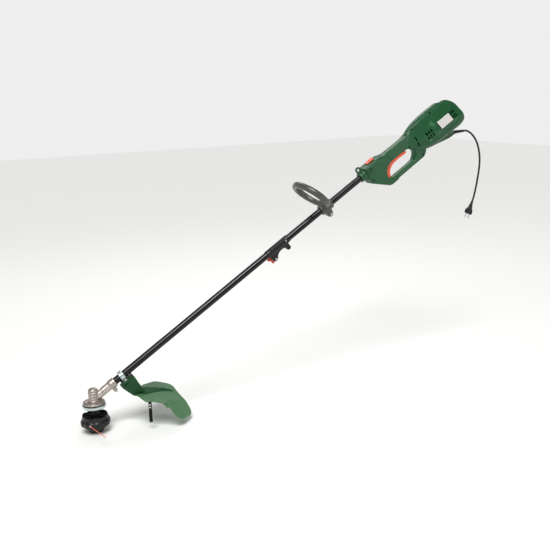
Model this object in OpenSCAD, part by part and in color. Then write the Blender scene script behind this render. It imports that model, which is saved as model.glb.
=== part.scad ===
// Electric string trimmer with a split shaft, a bevel gear head and a loop handle.
// Millimetres. +Z is up, +X runs from the cutting head towards the motor, and the near side is -Y.
// The origin is the centre of the strap eye at the nose of the motor housing.

/* [Shaft] */
// Slope of the shaft above the horizontal in degrees
pole_angle = 31.5; // [25:0.5:38]
// Outside diameter of the two tubes
tube_d = 26; // [26:1:26]
// Wall of the two tubes
tube_wall = 1.5; // [1.2:0.1:2]
// Place along the shaft where the two tubes meet
tube_split = 874; // [860:1:880]
// Place of the loop handle along the shaft
handle_at = 1122; // [1060:1:1180]

/* [Head] */
// Largest diameter of the line head
head_d = 104; // [100:1:108]
// Free length of each cutting line
line_len = 118; // [90:1:120]
// Diameter of the cutting line
line_d = 2.4; // [2:0.1:3]
// Travel of the bump knob
bump_travel = 6; // [4:0.5:6]

/* [Gears] */
// Teeth on the pinion
pinion_teeth = 14; // [14:1:14]
// Teeth on the driven gear
gear_teeth = 19; // [19:1:19]

/* [Housing] */
// Half thickness of the front block
block_half = 28; // [26:1:30]
// Half thickness of the grip
grip_half = 19; // [17:1:21]
// Half thickness of the motor barrel
barrel_half = 50; // [48:1:52]
// Wall of the moulded shells
shell_wall = 3; // [2.5:0.1:3.5]

/* [Cord] */
// Diameter of the power cord
cord_d = 8; // [7:0.5:8]

/* [Hidden] */
$fn = 48;

tube_r = tube_d / 2;
slide_fit = 0.08;
run_fit = 0.05;
eye_s = 1319;
eye_n = 32;
eye_x = eye_s * cos(pole_angle) - eye_n * sin(pole_angle);
eye_z = eye_s * sin(pole_angle) + eye_n * cos(pole_angle);
shaft_r = 4;
lower_end = tube_split - 2;
upper_start = tube_split + 2;
upper_end = 1390;

green = "#2f6b45";
dark = "#1c1a18";
orange = "#e0704e";
steel = "#c4c8c6";

// ---------- frames and building blocks ----------

// Along the shaft: x is the distance from the head axis, z is up from the shaft axis
module on_pole() { translate([-eye_x, 0, -eye_z]) rotate([0, -pole_angle, 0]) children(); }
// Upright at the head: the origin is where the head axis meets the shaft axis
module on_head() { translate([-eye_x, 0, -eye_z]) children(); }
// Round bar along x
module bar(a, b, r) { translate([a, 0, 0]) rotate([0, 90, 0]) cylinder(h = b - a, r = r); }
// Pipe along x
module pipe(a, b, r_out, r_in) {
    translate([a, 0, 0]) rotate([0, 90, 0]) rotate_extrude()
        translate([r_in, 0]) square([r_out - r_in, b - a]);
}
// Round bar across the part, from y0 to y1
module cross(s, n, y0, y1, r) { translate([s, y0, n]) rotate([-90, 0, 0]) cylinder(h = y1 - y0, r = r); }
// Side outline given a thickness from y0 to y1
module side(y0, y1) { translate([0, y1, 0]) rotate([90, 0, 0]) linear_extrude(y1 - y0) children(); }
// Box from corner to corner
module block(a, b) { translate(a) cube(b - a); }
// Ring about z
module ring(z0, z1, r_out, r_in) {
    translate([0, 0, z0]) rotate_extrude() translate([r_in, 0]) square([r_out - r_in, z1 - z0]);
}
// Coil spring about z as one swept wire
module coil(z0, z1, r, wire, turns, sides = 6) {
    steps = turns * 14;
    ring_at = function (i) [for (k = [0:sides - 1])
        let (a = 360 * i / 14, b = 360 * k / sides, q = r + wire * cos(b))
        [q * cos(a), q * sin(a), z0 + wire + (z1 - z0 - 2 * wire) * i / steps + wire * sin(b)]];
    points = [for (i = [0:steps]) each ring_at(i)];
    faces = [
        [for (k = [0:sides - 1]) k],
        for (i = [0:steps - 1], k = [0:sides - 1])
            [i * sides + k, (i + 1) * sides + k, (i + 1) * sides + (k + 1) % sides, i * sides + (k + 1) % sides],
        [for (k = [sides - 1:-1:0]) steps * sides + k]
    ];
    polyhedron(points, faces, convexity = 6);
}

// ---------- bevel gears ----------

cone_out = 22;
cone_in = 14.5;
shaft_gap = 90 - pole_angle;
pinion_cone = atan(sin(shaft_gap) / (gear_teeth / pinion_teeth + cos(shaft_gap)));
gear_cone = shaft_gap - pinion_cone;

// One straight bevel tooth on a pitch cone about z, at angle a
module bevel_tooth(cone, teeth, a) {
    half = 360 / teeth * 0.16;
    tip = 3.0;
    root = 3.6;
    spot = function (dist, lift, turn)
        let (c = cone + lift) [dist * sin(c) * cos(turn), dist * sin(c) * sin(turn), dist * cos(c)];
    points = [for (d = [cone_in, cone_out])
        each [spot(d, -root, a - half * 1.7), spot(d, tip, a - half * 0.45),
              spot(d, tip, a + half * 0.45), spot(d, -root, a + half * 1.7)]];
    polyhedron(points, [[0, 1, 2, 3], [7, 6, 5, 4], [0, 4, 5, 1], [1, 5, 6, 2], [2, 6, 7, 3], [3, 7, 4, 0]]);
}
// Blank cone under the teeth, with its back hub
module bevel_blank(cone, bore, hub) {
    low = cone - 3.4;
    rotate_extrude() polygon([
        [bore, cone_in * cos(low) - 1], [cone_in * sin(low), cone_in * cos(low)],
        [cone_out * sin(low), cone_out * cos(low)], [cone_out * sin(low), cone_out * cos(low) + 1.5],
        [bore + 2.5, hub], [bore, hub]]);
}
module bevel_gear(cone, teeth, bore, hub, phase) {
    bevel_blank(cone, bore, hub);
    for (i = [0:teeth - 1]) bevel_tooth(cone, teeth, phase + i * 360 / teeth);
}

// ---------- gear head ----------

case_r = 17.6;
module gearcase() color("#a89f96") {
    difference() {
        union() {
            on_head() rotate_extrude() polygon([
                [0, 40.5], [9, 40.5], [13.5, 39.5], [16.4, 37], [case_r, 33], [case_r, -6], [27, -9],
                [35.5, -10.5], [37, -13], [37, -21], [35, -22.5], [0, -22.5]]);
            on_pole() bar(6, 94, 15.4);
            on_pole() bar(73, 94, 17.4);
            on_pole() block([70, -7.5, -34], [84, 7.5, -12]);
        }
        // gear chamber, bearing seats and the mouth for the tube
        on_head() translate([0, 0, -16]) cylinder(h = 51, r = 11);
        on_head() translate([0, 0, 3]) cylinder(h = 24.5, r = 14.2);
        on_head() translate([0, 0, -23]) cylinder(h = 8, r = 31);
        on_pole() bar(4, 99.5, 11.4);
        on_pole() bar(40, 100, tube_r);
        // clamp slit and its bolt hole
        on_pole() block([60, -1.2, -36], [100, 1.2, -12.8]);
        on_pole() cross(77, -28, -9, 9, 2.5);
    }
}
module gearcase_clamp_screw() color(steel) on_pole() {
    cross(77, -28, -10.5, 8.5, 2.5);
    cross(77, -28, -11.5, -7.5, 4.6);
}
module grease_plug() color(steel) on_head() {
    translate([0, -case_r - 2.2, 8]) rotate([-90, 0, 0]) cylinder(h = 2.2, r = 4);
}
arbor_r = 5;
module arbor() color(steel) on_head() {
    translate([0, 0, -66]) cylinder(h = 99.5, r = arbor_r);
    translate([0, 0, -44]) cylinder(h = 14, r = 9);
}
module arbor_bearings() color("#b9bdbb") on_head() {
    ring(28, 34.5, 11, arbor_r + run_fit);
    ring(-14, -5, 11, arbor_r + run_fit);
}
module pinion() color("#8f9391") on_pole() rotate([0, 90, 0])
    bevel_gear(pinion_cone, pinion_teeth, shaft_r, 27, 180);
module driven_gear() color("#8f9391") on_head()
    bevel_gear(gear_cone, gear_teeth, arbor_r, 24, 180 / gear_teeth);
module pinion_bearings() color("#b9bdbb") on_pole() {
    pipe(27.5, 33, 11.4, shaft_r + run_fit);
    pipe(34, 39.5, 11.4, shaft_r + run_fit);
}
// Zinc-plated plate that keeps grass from winding up under the gear case
module wrap_plate() color("#c8d4d0") on_head() rotate_extrude() polygon([
    [9, -30], [9, -34], [30, -34], [38.5, -30.5], [41, -27], [41.5, -24.5], [40, -24], [38, -26.5],
    [30, -30]]);

// ---------- line head ----------

head_r = head_d / 2;
module head_housing() color(dark) on_head() difference() {
    union() {
        rotate_extrude() polygon([
            [42, -57], [45, -57], [45.5, -70], [48.5, -73], [head_r, -78], [head_r, -88], [head_r - 2.5, -88],
            [head_r - 2.5, -79], [47, -75.5], [43, -73], [14, -71], [14, -84], [arbor_r, -84], [arbor_r, -50],
            [13, -50], [14, -68], [42, -68]]);
        for (a = [0:45:315]) rotate([0, 0, a]) block([13, -1.2, -70], [43.5, 1.2, -60]);
    }
    for (a = [-124, 56]) rotate([0, 0, a]) translate([38, 0, -80]) rotate([0, 90, 0]) cylinder(h = 20, r = 4);
    // room for the nut at the lower end of the arbor
    translate([0, 0, -85]) cylinder(h = 19, r = 9);
}
module arbor_nut() color(steel) on_head() difference() {
    translate([0, 0, -74]) cylinder(h = 8, r = 8.5, $fn = 6);
    translate([0, 0, -75]) cylinder(h = 20, r = arbor_r);
}
module head_cover() color(dark) on_head() {
    rotate_extrude() polygon([
        [head_r, -88], [head_r, -91], [47, -98], [33, -109], [29, -110], [29, -107.5], [32, -106.5],
        [45, -96], [head_r - 3, -91], [head_r - 3, -88]]);
    for (a = [0:60:300]) rotate([0, 0, a + 26]) block([31, -6, -108], [36, 6, -104]);
}
module line_eyelets() color(steel) on_head()
    for (a = [-124, 56]) rotate([0, 0, a]) translate([44, 0, -80]) rotate([0, 90, 0])
        ring(0, 9.5, 4, 2.2);
// Two ends of nylon line, each leaning back from its eyelet
line_dir = 46;
module cutting_lines() color(orange) on_head()
    for (a = [-124, 56]) rotate([0, 0, a]) {
        translate([44.5, 0, -80]) rotate([0, 90, 0]) cylinder(h = 9.8, r = line_d / 2);
        translate([54.3, 0, -80]) sphere(r = line_d / 2);
        translate([54.3, 0, -80]) rotate([0, 90, line_dir]) cylinder(h = line_len, r = line_d / 2);
    }
module spool() color("#3a3836") on_head() {
    rotate_extrude() polygon([
        [20, -75.5], [42.5, -76], [42.5, -78], [26, -78], [26, -92], [42.5, -92], [42.5, -94],
        [20, -94]]);
}
module line_winding() color(orange) on_head() ring(-91.7, -78.3, 37, 26);
module bump_knob() color(dark) on_head() rotate_extrude() polygon([
    [0, -121], [22, -121], [26, -119.5], [27.8, -116], [27.8, -104], [19.7, -101], [19.7, -72 - bump_travel],
    [17.4, -72 - bump_travel],
    [17.4, -110], [0, -110]]);
module bump_spring() color(steel) on_head() coil(-109.9, -84.2, 12.5, 0.8, 5);

// ---------- guard ----------

// Side outline of the broad hollow arm, from its landing under the tube down to the skirt
arm_foot = -4.6;
module guard_arm() color("#0f5a28") difference() {
    union() {
        on_head() difference() {
            side(-25, 25) polygon([[100, 24], [146, 62], [160, 34], [180, 4], [184, arm_foot], [130, arm_foot]]);
            // open underneath, one wall thick
            side(-22, 22) polygon([[113, 28], [140, 46], [157, 27], [174, 3], [176, -40], [135, -40], [134, -3]]);
        }
        // landing for the clamp
        on_pole() block([106, -24, -27], [145, 24, -17]);
        on_head() spine();
    }
    on_pole() block([80, -30, -18], [180, 30, 40]);
    on_pole() for (y = [-18, 18]) translate([125, y, -24]) cylinder(h = 12, r = 2.6);
}
// Ridge that narrows and sinks towards the rear, just clear of the skirt below it
spine_from = 176;
spine_to = 294;
module spine() {
    steps = 10;
    points = [for (i = [0:steps]) let (t = i / steps, x = spine_from + (spine_to - spine_from) * t,
                                       near = -30 * (1 - t) - 1, far = 20 * (1 - t) + 1, top = -30 * t)
        each [[x, near, skirt_z([x, near]) + 1], [x, near, skirt_z([x, near]) + 3],
              [x, 0, top], [x, far, max(skirt_z([x, far]) + 2.5, top - 3)],
              [x, far, skirt_z([x, far]) + 1]]];
    faces = [
        [4, 3, 2, 1, 0],
        for (i = [0:steps - 1], k = [0:4]) let (a = i * 5, j = (k + 1) % 5) each [
            [a + k, a + j, a + 5 + j], [a + k, a + 5 + j, a + 5 + k]],
        [for (k = [0:4]) steps * 5 + k]
    ];
    polyhedron(points, faces, convexity = 4);
}
// Plan of the skirt: heel points under the arm and rim points from the far side round to the near side
heel = [[186, 44], [172, 26], [150, 24], [134, 0], [138, -24], [146, -30], [150, -38]];
rim = [[196, 62], [226, 80], [256, 96], [278, 80], [296, 62], [306, 35], [310, 5], [316, -28], [326, -52],
       [330, -66], [326, -80], [270, -129], [257, -131], [247, -124], [238, -112], [225, -122], [219, -108],
       [200, -97], [184, -88], [163, -81], [152, -45]];
// Point at share t along a list of points
function along(list, t) = let (u = t * (len(list) - 1), i = min(floor(u), len(list) - 2), f = u - i)
    list[i] * (1 - f) + list[i + 1] * f;
// The skirt slopes away from the arm. Its near end folds down sharply and its far end gently, both along
// fold_dir, and the share of the gentle fold grows along fold_line
fold_dir = [0.67, -0.742];
fold_line = [0.742, 0.67];
function skirt_z(p) = let (
    out = norm(p - [150, 0]),
    u = p * fold_dir,
    w = min(1, max(0, (p * fold_line - 100) / 100)),
    sharp = 1.15 * max(0, u - 231),
    gentle = 0.33 * max(0, u - 175) + 0.7 * max(0, u - 247))
    -5 - 0.09 * out - 0.00045 * out * out + 0.07 * max(0, p[1]) - (1 - w) * sharp - w * gentle;
module guard_skirt() color("#6f8f68") on_head() skirt_solid(3);
// The skirt's sheet, thickened downward
module skirt_solid(thick) {
    cols = 40;
    rows = 9;
    top = [for (j = [0:rows], i = [0:cols])
        let (p = along(heel, i / cols) * (1 - j / rows) + along(rim, i / cols) * (j / rows))
        [p[0], p[1], skirt_z(p)]];
    low = [for (p = top) p - [0, 0, thick]];
    w = cols + 1;
    n = len(top);
    faces = [
        for (j = [0:rows - 1], i = [0:cols - 1]) let (k = j * w + i) each [
            [k, k + 1, k + w + 1], [k, k + w + 1, k + w],
            [n + k, n + k + w + 1, n + k + 1], [n + k, n + k + w, n + k + w + 1]],
        for (i = [0:cols - 1]) let (k = rows * w + i) each [[k, k + 1, n + k + 1], [k, n + k + 1, n + k]],
        for (i = [0:cols - 1]) each [[i + 1, i, n + i], [i + 1, n + i, n + i + 1]],
        for (j = [0:rows - 1]) let (k = j * w) each [[k, k + w, n + k + w], [k, n + k + w, n + k]],
        for (j = [0:rows - 1]) let (k = j * w + cols) each [[k + w, k, n + k], [k + w, n + k, n + k + w]]
    ];
    polyhedron(concat(top, low), faces, convexity = 6);
}
module guard_clamp() color(steel) on_pole() difference() {
    union() {
        pipe(114, 136, tube_r + 2.5, tube_r);
        block([114, -22, -18], [136, 22, -14]);
        block([114, -3, 14], [136, 3, 22]);
    }
    bar(110, 140, tube_r);
    for (y = [-18, 18]) translate([125, y, -30]) cylinder(h = 30, r = 2.6);
}
module guard_screws() color(steel) on_pole() {
    for (y = [-18, 18]) translate([125, y, -24]) cylinder(h = 13, r = 2.6);
    for (y = [-18, 18]) translate([125, y, -14]) cylinder(h = 4, r = 5);
    cross(125, 19, -8, -3, 4);
    cross(125, 19, 3, 8, 4);
}
module line_cutter() color("#1d1b19") on_head() translate([172, -97, -92]) rotate([0, 0, -30]) difference() {
    block([-6, 0, 0], [6, 2, 78]);
    // slanted cutting end
    rotate([0, -25, 0]) block([-20, -1, -12], [20, 3, 1]);
}
module cutter_screws() color(steel) on_head() translate([172, -97, 0]) rotate([0, 0, -30])
    for (z = [-24, -34]) translate([0, -2.5, z]) rotate([-90, 0, 0]) cylinder(h = 2.5, r = 3);

// ---------- tubes and drive ----------

module lower_tube() color(dark) on_pole() pipe(40, lower_end, tube_r, tube_r - tube_wall);
module upper_tube() color(dark) on_pole() pipe(upper_start, upper_end, tube_r, tube_r - tube_wall);
module lower_drive_shaft() color(steel) on_pole() {
    bar(23, 858, shaft_r);
    block([857.5, -2.5, -2.5], [896, 2.5, 2.5]);
}
module upper_drive_shaft() color(steel) on_pole() difference() {
    union() {
        bar(876, 900, 6);
        bar(899.5, 1400, shaft_r);
        bar(1394, 1403.8, 6);
    }
    block([870, -2.75, -2.75], [898, 2.75, 2.75]);
}
module bushings(places) color("#2c2a28") on_pole()
    for (s = places) pipe(s, s + 16, tube_r - tube_wall, shaft_r + slide_fit);
module lower_bushings() bushings([170, 380, 600, 820]);
module upper_bushings() bushings([960, 1160, 1340]);

// ---------- coupler ----------

coupler_a = 815;
coupler_b = 923;
module coupler() color("#181614") on_pole() difference() {
    union() {
        bar(coupler_a + 8, coupler_b, 15.4);
        translate([coupler_a, 0, 0]) rotate([0, 90, 0]) cylinder(h = 8.2, r1 = 14, r2 = 15.4);
        // cheek under the tube, hollowed by a long arc
        difference() {
            side(-9, 9) polygon([[822, -8], [826, -36], [830, -40], [842, -40], [847, -36], [853, -31],
                                 [868, -26], [896, -27], [900, -38], [906, -38], [913, -31], [913, -8]]);
            cross(876, -52, -10, 10, 26);
        }
        cross(836, -31, -12, 5, 9);
        cross(905, -29, -9, 9, 9.5);
        cross(905, 6, -18, -8, 5.5);
    }
    bar(coupler_a - 2, coupler_b + 2, tube_r + slide_fit);
    block([coupler_a - 2, -1, -42], [862, 1, -10]);
    cross(836, -31, -20, 30, 3.05);
    cross(905, -29, -20, 20, 4.2);
    cross(905, 6, -20, -8, 3.05);
}
module coupler_bolt() color(steel) on_pole() {
    cross(836, -31, -13, 23, 3);
    cross(836, -31, -16, -12, 5);
}
module coupler_knob() color("#d8402a") on_pole() difference() {
    union() {
        cross(836, -31, 9.4, 25, 9);
        cross(836, -31, 14.2, 25, 15);
        for (a = [0:72:288]) translate([836, 0, -31]) rotate([0, a + 30, 0]) cross(16, 0, 14.6, 24.6, 7.5);
    }
    cross(836, -31, 5, 23.5, 3.06);
}
module release_pin() color(steel) on_pole() difference() {
    cross(905, 6, -20.5, -16, 3);
    cross(905, 6, -19.4, -15, 2.2);
}
module release_spring() color(steel) on_pole() {
    translate([905, -15.8, 6]) rotate([-90, 0, 0]) coil(0, 3, 1.4, 0.35, 3);
}

// ---------- loop handle ----------

loop_lean = 19.5;
module loop_handle() color("#55554f") on_pole() translate([handle_at, 0, 0]) difference() {
    union() {
        rotate([0, -loop_lean, 0]) translate([0, 0, 82]) loop_ring();
        bar(-27, 27, 21);
        translate([0, 0, 5]) rotate([0, -loop_lean, 0]) block([-13, -17, -4], [13, 17, 22]);
        block([-14, -13, -44], [14, 13, -10]);
    }
    bar(-60, 60, tube_r + slide_fit);
    block([-16, -1, -46], [16, 1, -10]);
    cross(0, -34, -20, 20, 3.1);
}
// Loop bar on a closed ellipse that stands across the shaft
module loop_ring() {
    half_w = 80;
    half_h = 66;
    bar_w = 13;
    bar_t = 11.5;
    around = 44;
    sides = 10;
    points = [for (i = [0:around - 1], k = [0:sides - 1])
        let (a = 360 * i / around, b = 360 * k / sides)
        [bar_w * cos(b), (half_w - bar_t * sin(b)) * cos(a), (half_h - bar_t * sin(b)) * sin(a)]];
    faces = [for (i = [0:around - 1], k = [0:sides - 1])
        [i * sides + k, i * sides + (k + 1) % sides,
         ((i + 1) % around) * sides + (k + 1) % sides, ((i + 1) % around) * sides + k]];
    polyhedron(points, faces, convexity = 6);
}
// Rubber strip in the clamp's slit, pressed against the tube
module handle_clamp() color("#3c3c38") on_pole() translate([handle_at, 0, 0]) difference() {
    block([-9, -1, -42], [9, 1, -tube_r - 0.3]);
    cross(0, -34, -20, 20, 3.1);
}
module handle_bolt() color(steel) on_pole() translate([handle_at, 0, 0]) {
    cross(0, -34, -15, 17, 3.1);
    cross(0, -34, -17, -13, 5.5);
    translate([0, 13, -34]) rotate([-90, 0, 0]) cylinder(h = 4.5, r = 6, $fn = 6);
}

// ---------- housing ----------

module nose_collar() color(green) on_pole() difference() {
    union() {
        bar(1309, 1322, 20);
        bar(1321.5, 1334, 24);
        side(-5, 5) polygon([[1310, 10], [1308, 26], [1330, 26], [1334, 12]]);
        cross(eye_s, eye_n, -5, 5, 12.5);
    }
    bar(1300, 1340, tube_r);
    cross(eye_s, eye_n, -8, 8, 6);
}
// Side outlines of the front block and of the grip with its closed loop
module block_outline() polygon([[1334, 27], [1402, 29], [1420, 26], [1436, 20], [1452, 17], [1452, -103],
    [1414, -104], [1402, -100], [1334, -42]]);
module grip_outline() polygon([[1400, 27], [1420, 26], [1436, 20], [1540, 18], [1560, 21], [1590, 24],
    [1612, -20], [1630, -80], [1616, -96], [1602, -103], [1414, -104], [1400, -99]]);
module finger_outline() polygon([[1424, -60], [1428, -46], [1438, -37], [1452, -34], [1545, -34],
    [1560, -37], [1570, -45], [1574, -56], [1570, -68], [1560, -78], [1545, -84], [1448, -85],
    [1434, -80], [1426, -71]]);
module fin_outline() polygon([[1640, -80], [1644, -90], [1712, -106], [1752, -116], [1786, -118],
    [1787, -100], [1776, -84]]);
module relief_seat() polygon([[1758, -120], [1787, -120], [1787, -96], [1768, -86]]);
// Motor barrel, one row per station: place, ridge height, widest height, half width, bottom
barrel = [
    [1560, 20, -5, grip_half, -32],
    [1585, 31, -12, 28, -58],
    [1612, 39, -24, 37, -76],
    [1645, 44, -34, 45, -86],
    [1690, 47, -42, barrel_half - 1, -91],
    [1750, 46, -44, barrel_half, -92],
    [1790, 39, -45, barrel_half, -92],
    [1818, 28, -46, barrel_half - 1, -91],
    [1835, 9, -48, barrel_half - 5, -86],
    [1844, -12, -50, barrel_half - 14, -78]
];
// Share of the half width and of the fall from the ridge to the widest line, then on to the bottom
upper_round = [[0, 0], [0.22, 0.015], [0.4, 0.07], [0.52, 0.2], [0.64, 0.4], [0.8, 0.65], [0.94, 0.88]];
lower_round = [[1, 0], [1, 0.25], [0.96, 0.48], [0.87, 0.7], [0.7, 0.88], [0.42, 0.98], [0, 1]];
function barrel_section(b, cut, s) = let (wide = b[3] - cut, top = b[1] - cut, low = b[4] + cut) concat(
    [for (q = upper_round) [s, wide * q[0], top + (b[2] - top) * q[1]]],
    [for (q = lower_round) [s, wide * q[0], b[2] + (low - b[2]) * q[1]]]);
module barrel_half_solid(cut) {
    last = len(barrel) - 1;
    n = len(upper_round) + len(lower_round);
    points = [for (i = [0:last])
        each barrel_section(barrel[i], cut, barrel[i][0] - (i == last ? cut : 0))];
    faces = [
        [for (k = [n - 1:-1:0]) k],
        for (i = [0:last - 1], k = [0:n - 1]) let (a = i * n, j = (k + 1) % n) each [
            [a + k, a + j, a + n + j], [a + k, a + n + j, a + n + k]],
        [for (k = [0:n - 1]) last * n + k]
    ];
    polyhedron(points, faces, convexity = 6);
}
// Half of the solid body: stepped block and grip, and the barrel
module solid_half(cut) {
    for (q = [[0.55, 0], [0.84, 5], [1, 13]]) {
        side(0, block_half * q[0] - cut) offset(delta = -q[1] * 0.5 - cut) block_outline();
        side(0, grip_half * q[0] - cut) offset(delta = -q[1] * 0.5 - cut) grip_outline();
    }
    barrel_half_solid(cut);
    side(0, 10 - cut) offset(delta = -cut) fin_outline();
}
screw_spots = [[1345, -32], [1450, -95], [1558, -24], [1600, -88], [1604, 28], [1708, 37], [1738, -82]];
module shell_half() {
    difference() {
        solid_half(0);
        difference() {
            solid_half(shell_wall);
            // rim wall round the finger opening, screw bosses, ribs that hold the tube, trigger pin boss
            side(0, 60) offset(delta = shell_wall) finger_outline();
            for (p = screw_spots) cross(p[0], p[1], -1, 60, 4.6);
            for (s = [1348, 1384]) block([s, 0, -18], [s + 3, 40, 30]);
            cross(trigger_s, trigger_n, trigger_half + 0.6, 60, 5.5);
            side(0, 60) relief_seat();
        }
        side(-1, 61) finger_outline();
        bar(1320, 1402, tube_r);
        bar(1400, 1440, 6.5);
        // slot that the trigger swings in, and its pin
        side(-1, trigger_half + 0.6) polygon([[1404, -84], [1404, -30], [1430, -14], [1548, -14], [1548, -60],
            [1452, -80]]);
        cross(trigger_s, trigger_n, -1, 15, 2.5);
        // slot for the lock slider
        block([1354, -1, 15], [1402, 5.5, 40]);
        block([1352, -1, 16], [1404, 10, 23.6]);
        // cooling slots
        for (i = [0:2], j = [0:1]) block([1646 + i * 10, 25, -37 + j * 14], [1651 + i * 10, 61, -27 + j * 14]);
        for (j = [0:1]) block([1594, 15, -44 + j * 22], [1599, 61, -27 + j * 22]);
        for (i = [0:2], j = [0:1]) block([1784 + i * 8, 20, -37 + j * 16], [1788 + i * 8, 61, -24 + j * 16]);
    }
}
module left_shell() color(green) difference() {
    on_pole() difference() {
        mirror([0, 1, 0]) shell_half();
        for (p = screw_spots) cross(p[0], p[1], -61, -9, 3.6);
        for (p = screw_spots) cross(p[0], p[1], -10, 1, 1.9);
    }
    relief_hole();
}
module right_shell() color(green) difference() {
    on_pole() difference() {
        shell_half();
        for (p = screw_spots) cross(p[0], p[1], -1, 8, 1.9);
    }
    relief_hole();
}
module relief_hole() { at_relief() translate([0, 0, -30]) cylinder(h = 50, r = 5); }
module housing_screws() color("#3a3a38") on_pole() for (p = screw_spots) {
    cross(p[0], p[1], -12, 7.5, 1.9);
    cross(p[0], p[1], -12, -9, 3.5);
}
module side_cap() color(green) on_pole() {
    cross(1351, 14, -29.5, -28, 5);
    difference() {
        cross(1351, 14, -30, -28, 12);
        cross(1351, 14, -31, -27.8, 8.5);
    }
    cross(1351, 14, -31, -28, 4.6);
}
module label_plate() color("#e4dfdb") on_pole() {
    translate([1742, -46.8, -23]) rotate([-26, 0, 0]) block([-33, 0, -17], [33, 0.5, 17]);
}

// ---------- trigger, lock and switch ----------

trigger_s = 1414;
trigger_n = -74;
trigger_half = 8;
module trigger() color(orange) on_pole() difference() {
    union() {
        side(-trigger_half, trigger_half) polygon([
            [1412, -68], [1411, -58], [1418, -44], [1430, -33], [1452, -25], [1490, -23], [1530, -27],
            [1538, -31], [1537, -38], [1490, -35], [1462, -38], [1444, -45], [1433, -56], [1430, -68],
            [1428, -76], [1420, -78], [1412, -76]]);
        cross(trigger_s, trigger_n, -trigger_half, trigger_half, 5);
    }
    cross(trigger_s, trigger_n, -12, 12, 2.55);
}
module trigger_pin() color(steel) on_pole() cross(trigger_s, trigger_n, -14.5, 14.5, 2.5);
module trigger_spring() color(steel) on_pole() translate([1399.5, 0, -56]) coil(0, 14, 3, 0.5, 4);
module lock_slider() color(orange) on_pole() {
    side(-9, 9) polygon([[1362, 29.4], [1364, 33], [1372, 33.5], [1388, 36], [1396, 38], [1398, 29.4]]);
    block([1366, -5, 21], [1394, 5, 29.8]);
    block([1366, -9, 18], [1394, 9, 21.6]);
}
module switch() color("#22201e") on_pole() {
    block([1360, -9, -50], [1392, 9, -30]);
    block([1392, -3, -46], [1395, 3, -40]);
}

// ---------- motor ----------

motor_n = -32;
module on_motor() { on_pole() translate([0, 0, motor_n]) children(); }

module rotor() color("#8c6a4a") on_motor() {
    bar(1616, 1800, shaft_r);
    bar(1700, 1740, 24);
    bar(1692, 1748, 21);
    bar(1752, 1768, 12);
}
module stator() color("#4a4642") on_motor() {
    pipe(1700, 1740, 37, 25.5);
    pipe(1693, 1747, 34, 27);
}
module motor_bearings() color("#b9bdbb") on_motor() {
    pipe(1632, 1640, 11, shaft_r + run_fit);
    pipe(1776, 1784, 11, shaft_r + run_fit);
}
module bearing_plates() color("#a8adab") on_motor() for (s = [1633, 1777]) difference() {
    block([s, -34, -15], [s + 6, 34, 15]);
    bar(s - 1, s + 9, 11);
}
module brushes() color("#b08a3e") on_motor() for (m = [0, 1]) mirror([0, m, 0])
    block([1755, 12.2, -3.5], [1765, 33, 3.5]);
module fan() color("#2c2a28") on_motor() {
    pipe(1650, 1653, 34, shaft_r);
    pipe(1650, 1666, 9, shaft_r);
    for (a = [0:30:330]) rotate([a, 0, 0]) block([1652.5, -1, 12], [1664, 1, 33]);
}
// Sheathed flexible shaft that steps down from the tube to the motor
flex_from = 1404;
flex_to = 1615.5;
function flex_n(s) = let (t = max(0, (s - 1530) / (1612 - 1530)), u = min(1, t)) motor_n * u * u * (3 - 2 * u);
module flex_shaft() color("#2c2a28") on_pole() {
    count = 26;
    sides = 10;
    r = 5;
    points = [for (i = [0:count], k = [0:sides - 1])
        let (s = flex_from + (flex_to - flex_from) * i / count, b = 360 * k / sides,
             turn = atan(flex_n(s + 0.5) - flex_n(s - 0.5)), q = r * cos(b))
        [s - q * sin(turn), r * sin(b), flex_n(s) + q * cos(turn)]];
    faces = [
        [for (k = [0:sides - 1]) k],
        for (i = [0:count - 1], k = [0:sides - 1])
            [i * sides + k, (i + 1) * sides + k, (i + 1) * sides + (k + 1) % sides, i * sides + (k + 1) % sides],
        [for (k = [sides - 1:-1:0]) count * sides + k]
    ];
    polyhedron(points, faces, convexity = 6);
}

// ---------- cord and plug ----------

// Route of the cord in the plane of the shaft, row frame, from the strain relief to the plug
cord_route = [[528, 126], [540, 126], [553, 122], [567, 114], [580, 103], [593, 88], [604, 70], [612, 50],
    [618, 28], [621, 6], [621.5, -16], [620, -38], [617, -60], [613, -82], [609, -104], [604, -125],
    [599, -145], [594, -162], [588, -178]];
relief_from = [474, 123];
function tangent(list, i) = let (d = list[min(i + 1, len(list) - 1)] - list[max(i - 1, 0)]) d / norm(d);
module power_cord() color("#1b1b1b") {
    sides = 10;
    n = len(cord_route);
    points = [for (i = [0:n - 1], k = [0:sides - 1])
        let (t = tangent(cord_route, i), b = 360 * k / sides, q = cord_d / 2 * cos(b))
        [cord_route[i][0] - t[1] * q, cord_d / 2 * sin(b), cord_route[i][1] + t[0] * q]];
    faces = [
        [for (k = [0:sides - 1]) k],
        for (i = [0:n - 2], k = [0:sides - 1])
            [i * sides + k, (i + 1) * sides + k, (i + 1) * sides + (k + 1) % sides, i * sides + (k + 1) % sides],
        [for (k = [sides - 1:-1:0]) (n - 1) * sides + k]
    ];
    polyhedron(points, faces, convexity = 6);
}
relief_way = cord_route[0] - relief_from;
module at_relief() {
    translate([relief_from[0], 0, relief_from[1]]) rotate([0, 90 - atan2(relief_way[1], relief_way[0]), 0])
        children();
}
module strain_relief() color("#1b1b1b") at_relief() rotate_extrude() polygon([
    [0, -18], [5, -18], [5, 7], [7.2, 7], [5.2, norm(relief_way)], [0, norm(relief_way)]]);
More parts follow.
